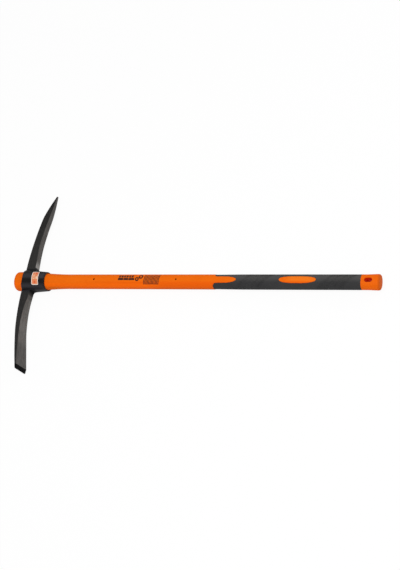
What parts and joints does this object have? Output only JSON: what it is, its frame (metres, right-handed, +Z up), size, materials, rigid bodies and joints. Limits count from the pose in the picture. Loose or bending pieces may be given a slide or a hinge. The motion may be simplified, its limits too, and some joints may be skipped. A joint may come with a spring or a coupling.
{
  "type": "pickaxe",
  "caption": "Pickaxe with a forged head, one pointed arm and one chisel arm, slip-fitted on a straight moulded handle with a soft rear grip and a hang slot.",
  "frame": {"origin": "middle of the flat end of the handle's crown, on the handle's axis", "axes": "+X down the handle towards the butt, +Y along the pointed arm, +Z up as the tool lies, out of the head's cheek"},
  "size_m": [0.9, 0.4524, 0.051],
  "materials": {
    "head_paint": "near-black forged steel with a thin satin coating",
    "orange_plastic": "satin moulded orange polypropylene",
    "grey_rubber": "matt soft grip, fine grained",
    "fibreglass": "drawn glass-fibre rod, dark resin"
  },
  "bodies": {
    "handle": {"handle_core": "fibreglass", "handle_jacket": "orange_plastic", "grip_sleeve": "grey_rubber"},
    "head": {"pick_head": "head_paint"}
  },
  "joints": [
    {"name": "head_slip", "type": "slide", "parent": "handle", "child": "head", "axis": [1, 0, 0], "range_m": [0, 0.9]}
  ]
}
